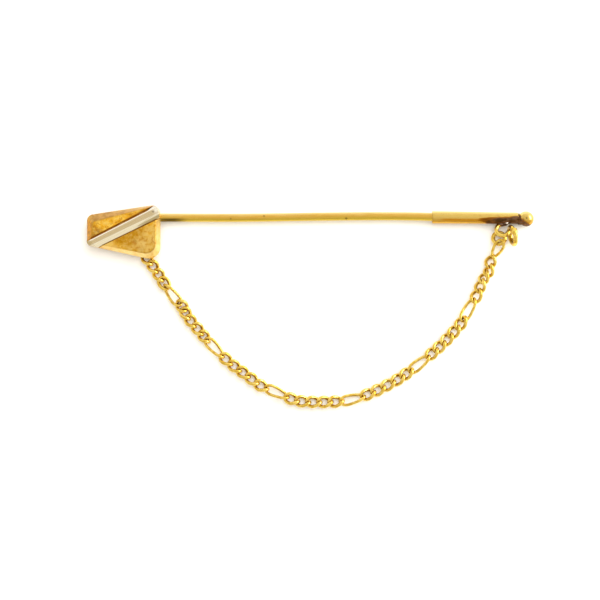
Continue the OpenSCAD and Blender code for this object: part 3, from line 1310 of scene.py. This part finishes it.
@dataclass
class Stem:
    """The wire stem with its slow bow, its point inside the sheath, and what joins it to the plaque.

    The butt, the taper and the tip give the wire's radius at places along X. A pit is x, y and
    radius, and a solder bed is a middle, half sizes and a seed.
    """

    radius: float = 0.6
    z: float = 1.1
    butt: tuple[Pair, ...] = ((-29.3, 0.5), (-29.29, 0.55), (-29.26, 0.585), (-29.2, 0.6))
    taper: tuple[Pair, Pair] = ((27.2, 0.6), (28.75, 0.18))
    tip: tuple[Pair, ...] = ((28.84, 0.13), (28.88, 0.08), (28.9, 0.02))
    sides: int = 64
    pit_depth: float = 0.06
    stain: Four = (-22.6, -21.4, -20.0, -17.2)
    hoop: Triple = (-23.8, 8.25, 0.85)
    hoop_r: float = 0.62
    hoop_wire_r: float = 0.23
    beds: tuple[tuple[Triple, Triple, int], ...] = (
        ((-25.5, 13.08, 1.5), (3.9, 0.85, 0.22), 4), ((-23.8, 8.25, 1.5), (0.5, 0.62, 0.16), 9))
    route: tuple[Pair, ...] = (
        (-29.3, 13.1), (-24.0, 13.06), (-20.2, 13.05), (-13.2, 13.03), (-9.7, 13.04), (-6.2, 13.08),
        (-2.7, 13.14), (0.8, 13.19), (4.3, 13.23), (7.8, 13.26), (11.3, 13.27), (14.8, 13.24), (17.7, 13.16),
        (22.5, 13.06), (28.9, 12.97))
    pits: tuple[Triple, ...] = ((5.17, 12.93, 0.14), (-6.77, 13.25, 0.11), (-11.6, 12.86, 0.1))

    def path(self, x: Array) -> Array:
        """The centreline: the charted places joined by straight runs and averaged over 3 mm.

        Args:
            x: places along X.

        Returns:
            Points, n x 3.
        """
        chart = np.array(self.route)
        spread = np.linspace(-1.5, 1.5, 13)
        y = np.interp(x[:, None] + spread, chart[:, 0], chart[:, 1]).mean(1)
        return np.stack([x, y, np.full_like(x, self.z)], -1)

    def shell(self) -> Shell:
        """The wire, its square-cut end rounded off a little and its other end tapered to the point.

        Each pit sinks the top by depth x exp(-(distance / radius)^2), and the wire has closer
        rings there.

        Returns:
            The wire's shell.
        """
        butt_x, butt_r = np.array(self.butt).T
        taper_x, taper_r = np.array(self.taper).T
        tip_x, tip_r = np.array(self.tip).T
        run = np.linspace(butt_x[-1] + 0.1, taper_x[0], 180)
        near = np.concatenate([np.linspace(x - 0.3, x + 0.3, 13) for x, _, _ in self.pits])
        x = np.concatenate([butt_x, np.unique(np.concatenate([run, near])),
                            np.linspace(*taper_x, 14)[1:], tip_x])
        radius = np.interp(x, np.concatenate([butt_x, taper_x, tip_x]),
                           np.concatenate([butt_r, taper_r, tip_r]))
        centre = self.path(x)
        rings = wire_rings(centre, radius, self.sides, (0, 0, 1))
        y = rings[..., 1] - centre[:, None, 1]
        stain = band(rings[..., 0], *self.stain) * smooth(-y, -0.05, 0.3)
        pit = sum(spot(rings[..., 0] - a, rings[..., 1] - b, r) for a, b, r in self.pits)
        pit = pit * (rings[..., 2] > self.z)
        rings[..., 2] -= self.pit_depth * pit
        # side paints the wire pale towards +Y and olive towards -Y: painted light and shade
        return ring_shell(rings, {"stain": stain, "side": 0.5 + 0.5 * y / self.radius,
                                  "pit": np.clip(pit * 0.9, 0, 1)})

    def hoop_shell(self) -> Shell:
        """The hoop: a ring of wire that stands upright across X.

        Returns:
            The hoop's shell.
        """
        ring = np.roll(circle(full_turn(48), 0), 1, axis=1)
        ring = ring * self.hoop_r + np.array(self.hoop)
        return loop_shell(wire_rings(ring, self.hoop_wire_r, 18, (1, 0, 0), closed=True))

    def build(self, wire: Material, solder: Material, cast: Material) -> None:
        """Makes the wire, the solder along the plaque's back, and the hoop with its own solder.

        Args:
            wire: the drawn gold.
            solder: the solder.
            cast: the cast gold.
        """
        beds = joined([lump(*bed) for bed in self.beds])
        for name, shell, finish in (("stem_wire", self.shell(), wire), ("back_solder", beds, solder),
                                    ("back_hoop", self.hoop_shell(), cast)):
            make_piece(name, shell, finish, Node.HEAD_AND_STEM)


# The sheath


@dataclass
class Sheath:
    """The slip-on point sheath: a drawn tube with a blind bore, a ball end, and a soldered wire loop.

    The scale's top and foot are charted as places (x, y), and each blob of solder is a
    middle, half sizes, a seed and how rough it is.
    """

    mouth: Pair = (17.7, 13.105)
    end: Pair = (30.2, 12.953)
    z: float = 1.1
    mouth_r: float = 0.9
    end_r: float = 0.83
    bore_r: float = 0.68
    bore_l: float = 11.6
    neck_r: float = 0.72
    ball: Pair = (31.4, 12.86)
    ball_r: float = 1.1
    ball_from: float = 30.3
    ball_pit: Triple = (31.32, 12.94, 2.19)
    ball_pit_depth: float = 0.07
    ball_pit_r: float = 0.12
    bore_rows: int = 28
    neck: Four = (30.15, 30.23, 30.7, 31.05)
    slit: Four = (30.17, 30.2, 30.4, 30.52)
    slit_y: float = 12.95
    scale_top: tuple[Pair, ...] = ((23.6, 12.98), (24.4, 13.0), (26.4, 13.12), (27.6, 13.16), (28.8, 13.24),
                                   (29.6, 13.31), (30.3, 13.36))
    scale_foot: tuple[Pair, ...] = ((23.6, 12.66), (24.6, 12.5), (25.4, 12.3), (26.2, 11.9))
    loop_centre: Triple = (27.96, 11.26, 1.2)
    loop_r: float = 0.9
    loop_wire_r: float = 0.32
    loop_lean: float = math.radians(25)
    loop_arc: Pair = (100, 336)
    blobs: tuple[tuple[Triple, Triple, int, float], ...] = (
        ((27.95, 12.32, 0.95), (0.86, 0.5, 0.5), 2, 0.2), ((28.25, 12.26, 1.1), (0.42, 0.36, 0.42), 6, 0.2),
        ((28.52, 12.24, 1.4), (0.24, 0.2, 0.26), 3, 0.12))
    solder_glint: Triple = (28.54, 12.26, 1.6)

    def profile(self) -> Array:
        """The tube's section, from the bore's floor out of the mouth and on to the ball's far side.

        Returns:
            Rows of (distance from the mouth, radius).
        """
        length = self.end[0] - self.mouth[0]
        r = self.bore_r
        floor = self.bore_l
        rows = [(floor, 0.1), (floor, 0.4), (floor - 0.01, r - 0.04), (floor - 0.06, r)]
        rows += [(d, r) for d in np.linspace(floor - 0.5, 0.3, 22)]
        rows += [(0.06, r), (0.015, r + 0.02), (0.0, r + 0.06), (0.0, self.mouth_r - 0.06),
                 (0.012, self.mouth_r - 0.02), (0.05, self.mouth_r)]
        rows += [(d, np.interp(d, (0, length), (self.mouth_r, self.end_r)))
                 for d in np.linspace(0.3, length - 0.25, 90)]
        rows += [(length - 0.06, self.end_r), (length - 0.02, self.end_r - 0.02),
                 (length, self.end_r - 0.07), (length + 0.01, self.neck_r + 0.05), (length + 0.03, self.neck_r)]
        centre = self.ball[0] - self.mouth[0]
        start = math.asin(self.neck_r / self.ball_r)
        turn = np.linspace(start, np.pi * 0.985, 44)
        rows += [(centre - self.ball_r * math.cos(a), self.ball_r * math.sin(a)) for a in turn]
        return np.array(rows)

    def tube(self) -> Shell:
        """The profile turned about the sheath's slightly slanting axis.

        Solder fills the neck on the lower side, so the neck's radius grows there to the tube's; a
        small pit is sunk in the ball by depth x exp(-(distance / radius)^2).

        Returns:
            The shell of the tube and its ball.
        """
        rows = self.profile()
        turn = full_turn(72)
        x = self.mouth[0] + rows[:, 0]
        y = np.interp(x, *np.array([self.mouth, self.end, self.ball]).T)
        radius = np.repeat(rows[:, 1:], len(turn), 1)
        gap = band(x, *self.neck)
        low = smooth(-np.cos(turn), -0.35, 0.1)[None]
        fill = self.end_r + 0.08 + 0.03 * np.sin(turn * 5)[None]
        outside = (np.arange(len(x)) > self.bore_rows)[:, None]
        radius = np.where(outside, radius + np.maximum(fill - radius, 0) * gap[:, None] * low, radius)
        across, up = y[:, None] + radius * np.cos(turn), self.z + radius * np.sin(turn)
        points = np.stack([x[:, None] + 0 * radius, across, up], -1)
        away = np.linalg.norm(points - np.array(self.ball_pit), axis=-1)
        points[..., 2] -= self.ball_pit_depth * spot(away, 0, self.ball_pit_r)
        return ring_shell(points, self.marks(points, outside))

    def marks(self, points: Array, outside: Array) -> dict[str, Array]:
        """The heat's traces and painted shade: fire scale between its charted lines and, with painted shade,
        round the ball's lower left.

        An amber line runs along the tube's lower side, the tube is painted paler towards +Y as painted
        light and shade, and painted shade darkens the slit beside the ball, the ball's pit and the bore.

        Args:
            points: the tube's points.
            outside: whether each row lies outside the bore.

        Returns:
            The marks by name.
        """
        px, py, pz = (points[..., k] for k in range(3))
        ball_x, ball_y = self.ball
        top, foot = (np.interp(px, *np.array(chart).T) for chart in (self.scale_top, self.scale_foot))
        axis = np.interp(px, *np.array([self.mouth, self.end]).T)
        scale = smooth(top - py, -0.14, 0.34) * smooth(py - foot, -0.16, 0.14)
        scale = scale * smooth(px, 23.4, 25.8) * (px < 30.6)
        amber = np.exp(-((py - axis + 0.36) / 0.17) ** 2) * smooth(px, 18.2, 19.8)
        amber = amber * (px < 27) * (pz > self.z)
        # the ball's lower left and bottom are darkened: fire scale with painted shade
        ball = smooth((ball_x - px) * 0.62 + (ball_y - py) * 0.78, 0.02, 0.95)
        ball = ball + 0.8 * smooth(ball_y - py, 0.7, 1.05)
        # painted shade: near-black in the slit beside the ball, in the ball's pit and in the bore
        within = self.end_r - np.hypot(py - self.slit_y, pz - self.z)
        slit = band(px, *self.slit) * smooth(within, 0.0, 0.08)
        pit = spot(px - self.ball_pit[0], py - self.ball_pit[1], 0.11) * (pz > 1.5)
        bore = np.where(outside, 0.0, 0.5)
        # side paints the tube paler towards +Y and deeper towards -Y: painted light and shade
        return {"side": 0.5 + 0.5 * (py - axis) / self.mouth_r, "amber": amber * outside,
                "scale": np.clip(scale + ball * (px > self.ball_from), 0, 1) * outside,
                "burnt": smooth(px, 25.6, 27.6), "soot": np.clip(slit + pit, 0, 1) * outside + bore}

    def loop(self) -> Shell:
        """The loop: a wire bent to most of a circle, its lower side raised.

        It runs from the solder round to an open rounded end.

        Returns:
            The loop's shell.
        """
        turn = np.radians(np.linspace(*self.loop_arc, 60))
        tipped = circle(turn, 0) * self.loop_r @ np.array(Matrix.Rotation(-self.loop_lean, 3, "X")).T
        return rounded_wire(np.array(self.loop_centre) + tipped, self.loop_wire_r, 24, (0, 0, 1))

    def build(self, tube: Material, solder: Material, chain: Material) -> None:
        """Makes the tube with its ball, the solder and the loop.

        Args:
            tube: the scaled gold.
            solder: the solder.
            chain: the chain's gold, which the loop is made of.
        """
        make_piece("sheath_tube", self.tube(), tube, Node.SHEATH, crease=40)
        shell = joined([lump(*blob) for blob in self.blobs])
        away = np.linalg.norm(shell.points - np.array(self.solder_glint), axis=-1)
        # a painted glint: a near-white spot on the top lump
        shell.marks["bare"] = 1 - smooth(away, 0.1, 0.22)
        make_piece("sheath_solder", shell, solder, Node.SHEATH)
        make_piece("sheath_loop", self.loop(), chain, Node.SHEATH)


# The jump ring and the chain


@dataclass
class JumpRing:
    """The ring of wire that stands at the sheath's loop, its end lapped past its start."""

    centre: Triple = (29.34, 10.42, 1.62)
    radius: float = 1.27
    wire_r: float = 0.34
    tip: float = math.radians(81)
    heading: float = math.radians(192.5)
    joint: float = math.radians(190)
    overlap: float = math.radians(26)
    spring: float = 0.22

    def build(self, finish: Material) -> None:
        """Makes the ring: a circle that runs on past its own start, tipped about Y and turned about Z.

        Over about the last radian the wire leaves the circle's plane by spring x a smooth step. The
        inner mark, painted shade with some grime, grows where the wire's outward direction points at the
        circle's middle.

        Args:
            finish: the chain's gold.
        """
        turn = np.linspace(0, 2 * np.pi + self.overlap, 96)
        drop = -self.spring * smooth(turn, turn[-1] - 1.1, turn[-1] - 0.2)
        line = circle(turn + self.joint, drop) * (self.radius, self.radius, 1)
        shell = rounded_wire(line, self.wire_r, 20, (0, 0, 1))
        outward = unit(shell.points * (1, 1, 0))
        inner = -(outward * unit(shell.points - self.radius * outward)).sum(-1)
        turned = np.array(Matrix.Rotation(self.heading, 3, "Z") @ Matrix.Rotation(self.tip, 3, "Y"))
        shell.points = shell.points @ turned.T + np.array(self.centre)
        # the inner mark paints shade, with some grime, on the ring's inner side
        shell.marks["inner"] = 0.8 * smooth(inner, 0.2, 0.9)
        make_piece("jump_ring", shell.outward(), finish, Node.JUMP_RING)


@dataclass(frozen=True)
class LinkLie:
    """How one link lies: its middle's height, and its climb, roll and heading in degrees.

    The heading is only given where the link doesn't lie in line with its neighbours, and the
    stretch, half the straight run, and the twist, in degrees, only where a link differs from the
    others of its kind. A positive roll lays the link's start flat and stands its end on edge.
    """

    z: float
    climb: float = 0.0
    roll: float = 0.0
    heading: float | None = None
    stretch: float | None = None
    twist: float | None = None


@dataclass
class GuardChain:
    """The figaro guard chain: groups of small curb links between single long ones.

    The links' middles are charted, from the hoop behind the plaque to the chain's end ring.
    """

    half_length: float = 1.06
    shortest: float = 0.86
    half_width: float = 0.72
    long_half_width: float = 0.65
    wire_r: float = 0.255
    long_wire_r: float = 0.215
    long_by: float = 0.8
    twist: float = 50.0
    long_twist: float = 48.0
    wire_sides: int = 16
    chart: tuple[Pair, ...] = (
        (-23.73, 6.99), (-22.89, 5.87), (-22.07, 4.64), (-21.36, 3.50), (-20.14, 1.79), (-18.77, 0.20),
        (-18.16, -0.93), (-17.40, -2.07), (-16.38, -3.23), (-15.46, -4.32), (-13.98, -5.93), (-12.27, -7.63),
        (-11.02, -8.67), (-9.76, -9.57), (-8.49, -10.53), (-7.16, -11.47), (-4.93, -12.41), (-2.73, -13.38),
        (-1.15, -13.74), (0.47, -13.81), (2.10, -13.82), (3.73, -13.75), (6.11, -13.40), (8.40, -12.68),
        (9.90, -12.03), (11.35, -11.28), (12.78, -10.50), (14.05, -9.64), (15.88, -8.25), (17.75, -6.71),
        (18.86, -5.71), (19.95, -4.64), (20.97, -3.52), (21.99, -2.29), (23.01, -0.38), (24.24, 1.71),
        (24.82, 3.16), (25.38, 4.38), (26.06, 5.40), (26.30, 6.73), (27.2, 8.42))
    long_links: tuple[int, ...] = (5, 11, 17, 23, 29, 35, 41)
    lie: LinkLie = LinkLie(z=0.75, roll=27)
    lies: dict[int, LinkLie] = field(default_factory=lambda: {
        4: LinkLie(z=0.68, roll=14, twist=16), 5: LinkLie(z=0.78, roll=-20), 6: LinkLie(z=0.72, roll=-4),
        11: LinkLie(z=0.78, roll=24), 17: LinkLie(z=0.78, roll=26), 23: LinkLie(z=0.78, roll=26),
        29: LinkLie(z=0.78, roll=24), 35: LinkLie(z=0.74, roll=18),
        36: LinkLie(z=0.78, roll=32), 37: LinkLie(z=0.84, roll=42), 38: LinkLie(z=0.9, roll=50),
        39: LinkLie(z=0.96, roll=50), 40: LinkLie(z=0.84, roll=34),
        41: LinkLie(z=1.15, climb=24, roll=-18, heading=65, stretch=0.5)})
    end_ring: Triple = (27.46, 10.05, 0.95)
    end_ring_r: float = 0.82
    end_ring_rise: Pair = (0.42, -0.2)
    end_wire_r: float = 0.3

    def half_lengths(self) -> Array:
        """How far each link's round end reaches past its straight run.

        For a small link it is half the distance to its small neighbours plus the wire's radius, so
        that each link pulls on the next, held between the shortest and the usual one.

        Returns:
            The half lengths, one for each link.
        """
        plan = np.array(self.chart)
        gap = np.hypot(*np.diff(plan, axis=0).T)
        small = np.array([i + 1 not in self.long_links for i in range(len(plan))])
        tied = (small[1:] & small[:-1]).astype(float)
        total = np.append(gap * tied, 0) + np.insert(gap * tied, 0, 0)
        ties = np.append(tied, 0) + np.insert(tied, 0, 0)
        found = total / np.maximum(ties, 1) / 2 + self.wire_r
        return np.where(small, np.clip(found, self.shortest, self.half_length), self.half_length)

    @staticmethod
    def centreline(half_length: float, half_width: float, stretch: float, twist: float,
                   count: int = 21) -> Array:
        """One link's closed centreline about its own middle.

        x = a cos t, moved out by the stretch on both sides of a straight run; the distance from the
        link's axis is b sin t, turned back about that axis by twist x (x / reach), so that the two
        ends cross their neighbours.

        Args:
            half_length: a, how far the round end reaches past the straight run.
            half_width: b.
            stretch: half the straight run.
            twist: how far each end is turned, in degrees.
            count: points in each half turn.

        Returns:
            Points, n x 3.
        """
        t = np.linspace(-np.pi / 2, np.pi / 2, count)
        run = np.linspace(-stretch, stretch, 14)[1:-1] if stretch else np.zeros(0)
        bow = half_length * np.cos(t) + stretch
        x = np.concatenate([bow, -run, -bow, run])
        off = half_width * np.concatenate([np.sin(t), np.ones(len(run)), -np.sin(t), -np.ones(len(run))])
        if not stretch:
            keep = np.r_[0:count - 1, count:2 * count - 1]
            x, off = x[keep], off[keep]
        angle = -math.radians(twist) * x / (half_length + stretch)
        return np.stack([x, off * np.cos(angle), off * np.sin(angle)], -1)

    def frames(self) -> tuple[Array, Array]:
        """Where each link lies, its heading taken from its neighbours.

        Returns:
            The links' middles and their turning matrices.
        """
        plan = np.array(self.chart)
        ahead = np.concatenate([plan[1:], [2 * plan[-1] - plan[-2]]])
        behind = np.concatenate([[2 * plan[0] - plan[1]], plan[:-1]])
        lies = [self.lies.get(i + 1, self.lie) for i in range(len(plan))]
        natural = np.arctan2(*(ahead - behind).T[::-1])
        heading = [h if lie.heading is None else math.radians(lie.heading)
                   for h, lie in zip(natural, lies)]
        middles = np.column_stack([plan, [lie.z for lie in lies]])
        turns = [Matrix.Rotation(h, 3, "Z") @ Matrix.Rotation(math.radians(-lie.climb), 3, "Y")
                 @ Matrix.Rotation(math.radians(-lie.roll), 3, "X") for h, lie in zip(heading, lies)]
        return middles, np.array([np.array(t) for t in turns])

    def links(self, long: bool) -> Shell:
        """All links of one kind, each a ring of wire turned and moved to its place.

        The inner mark, painted shade with some grime, grows where the wire's outward direction points
        at the link's core.

        Args:
            long: whether the long links are made, or the small ones.

        Returns:
            The links as one shell.
        """
        middles, turns = self.frames()
        reach = self.half_lengths()
        usual, width, wire, grime_and_shade = ((self.long_twist, self.long_half_width, self.long_wire_r, 0.6) if long
                                     else (self.twist, self.half_width, self.wire_r, 1.0))
        shells = []
        for i in (i for i in range(len(middles)) if ((i + 1) in self.long_links) == long):
            lie = self.lies.get(i + 1, self.lie)
            stretch = (self.long_by if lie.stretch is None else lie.stretch) if long else 0.0
            line = self.centreline(reach[i], width, stretch, usual if lie.twist is None else lie.twist)
            rings = wire_rings(line, wire, self.wire_sides, (0, 0, 1), closed=True)
            core = np.clip(line * (1, 0, 0), -stretch - 0.25, stretch + 0.25)
            # the inner mark paints shade, with some grime, where the wire faces the link's core
            marks = {"inner": grime_and_shade * smooth(facing(rings, line, core), 0.1, 0.8)}
            shells.append(loop_shell(rings @ turns[i].T + middles[i], marks))
        return joined(shells)

    def last_ring(self) -> Shell:
        """The chain's round end ring.

        Its height grows by end_ring_rise x the distance along X and Y.

        Returns:
            The ring's shell.
        """
        turn = full_turn(56)
        line = self.end_ring_r * circle(turn, circle(turn) @ np.array(self.end_ring_rise))
        rings = wire_rings(line, self.end_wire_r, 18, (0, 0, 1), closed=True)
        # the inner mark paints shade, with some grime, on the ring's inner side
        inner = 0.7 * smooth(facing(rings, line, 0), 0.3, 0.9)
        return loop_shell(rings + np.array(self.end_ring), {"inner": inner})

    def build(self, finish: Material) -> None:
        """Makes the small links, the round end ring and the long links.

        Args:
            finish: the chain's gold.
        """
        for name, shell in (("chain_small_links", self.links(False)), ("chain_end_ring", self.last_ring()),
                            ("chain_long_links", self.links(True))):
            make_piece(name, shell, finish, Node.CHAIN)


# The table, the light and the camera


@dataclass
class Studio:
    """A white table in a light tent, with a low softbox on the right, seen straight from above.

    A light is its name, place, width and height, power in watts, and whether polished metal shows
    it; the tent's own even light already stands for the others there.
    """

    table_size: float = 600.0
    table_points: int = 9
    white: str = "#FBFAF5"
    warm_white: str = "#FDFAF2"
    grain_mm: float = 0.8
    tent: str = "#FFFAF0"
    tent_lean: Triple = (0.6, 0.6, 0.0)
    tent_strength: Pair = (0.68, 1.26)
    target: Triple = (-1.529, 1.063, 1.1)
    distance: float = 242.7
    lens: float = 100.0
    sensor: float = 36.0
    lights: tuple[tuple[str, Triple, Pair, float, bool], ...] = (
        ("softbox_right", (265, 95, 110), (220, 90), 0.6, True),
        ("softbox_over", (70, 170, 450), (380, 380), 1.25, False),
        ("softbox_front", (-230, -260, 240), (260, 200), 0.1, False))

    def table(self) -> None:
        """The table top: a flat grid with a matt, faintly uneven white finish."""
        axis = np.linspace(-0.5, 0.5, self.table_points) * self.table_size
        x, y = np.meshgrid(axis, axis)
        points = np.stack([x, y, 0 * x], -1).reshape(-1, 3) * MM
        number = np.arange(len(points)).reshape(x.shape)
        faces = np.stack([number[:-1, :-1], number[:-1, 1:], number[1:, 1:], number[1:, :-1]], -1)
        faces = faces.reshape(-1, 4)
        mesh = bpy.data.meshes.new("table_top")
        mesh.from_pydata(points.tolist(), [], faces.tolist())
        paint = Paint("white_board_matt", roughness=0.9, metallic=0.0)
        grain = paint.noise(self.grain_mm, 3)
        tone = paint.mix(paint.times(grain, 0.2), self.white, self.warm_white)
        rough = paint.span(grain, 0.3, 0.7, (0.85, 0.95))
        mesh.materials.append(paint.finish(tone, rough, grain, depth_mm=0.004))
        top = bpy.data.objects.new("table_top", mesh)
        bpy.context.scene.collection.objects.link(top)

    def world(self) -> None:
        """The tent: an almost even pale light, a little stronger towards the right and the back."""
        world = bpy.data.worlds.new("light_tent")
        world.use_nodes = True
        tree = world.node_tree
        tree.nodes.clear()
        way = add_node(tree, "ShaderNodeTexCoord")
        lean = add_node(tree, "ShaderNodeVectorMath", {"operation": "DOT_PRODUCT"},
                        {0: way.outputs["Generated"], 1: self.tent_lean})
        strength = add_node(tree, "ShaderNodeMapRange", None,
                            {"Value": lean.outputs["Value"], "From Min": -1.0, "From Max": 1.0,
                             "To Min": self.tent_strength[0], "To Max": self.tent_strength[1]})
        back = add_node(tree, "ShaderNodeBackground", None,
                        {"Color": linear(self.tent), "Strength": strength.outputs[0]})
        add_node(tree, "ShaderNodeOutputWorld", None, {"Surface": back.outputs[0]})
        bpy.context.scene.world = world

    @staticmethod
    def softbox(name: str, place: Triple, size: Pair, power: float, mirrored: bool) -> None:
        """A rectangular soft light that looks at the pin.

        Args:
            name: its name.
            place: where it stands, in millimetres.
            size: width and height, in millimetres.
            power: its power in watts.
            mirrored: whether polished metal shows it; its light is then a little warmer.
        """
        light = bpy.data.lights.new(name, "AREA")
        light.shape = "RECTANGLE"
        light.size, light.size_y = (s * MM for s in size)
        light.energy = power
        light.color = linear("#FFFDF8" if mirrored else "#F0F5FF")[:3]
        lamp = bpy.data.objects.new(name, light)
        lamp.visible_glossy = mirrored
        stand = Vector(place) * MM
        aim = (-stand).to_track_quat("-Z", "Y").to_matrix().to_4x4()
        lamp.matrix_world = Matrix.Translation(stand) @ aim
        bpy.context.scene.collection.objects.link(lamp)

    def camera(self) -> None:
        """The camera, straight above the photo's middle."""
        data = bpy.data.cameras.new("camera")
        data.lens, data.sensor_width = self.lens, self.sensor
        data.clip_start, data.clip_end = 0.01, 5.0
        camera = bpy.data.objects.new("camera", data)
        camera.location = Vector(self.target) * MM + Vector((0, 0, self.distance * MM))
        bpy.context.scene.collection.objects.link(camera)
        bpy.context.scene.camera = camera

    def build(self) -> None:
        """Sets the table, the light and the camera."""
        self.table()
        self.world()
        for light in self.lights:
            self.softbox(*light)
        self.camera()
        bpy.context.scene.view_settings.view_transform = "Standard"
        bpy.context.scene.view_settings.look = "None"


def main() -> None:
    logging.basicConfig(level=logging.INFO, format="%(name)s %(message)s")
    Studio().build()
    cast, wire, tube = SatinCastGold().build(), DrawnGoldWire().build(), FireScaledGold().build()
    chain, white, solder = PolishedChainGold().build(), WhiteGoldFacets().build(), HardSolder().build()
    Plaque().build(cast)
    AccentBar().build(white)
    Stem().build(wire, solder, cast)
    Sheath().build(tube, solder, chain)
    JumpRing().build(chain)
    GuardChain().build(chain)


if __name__ == "__main__":
    main()
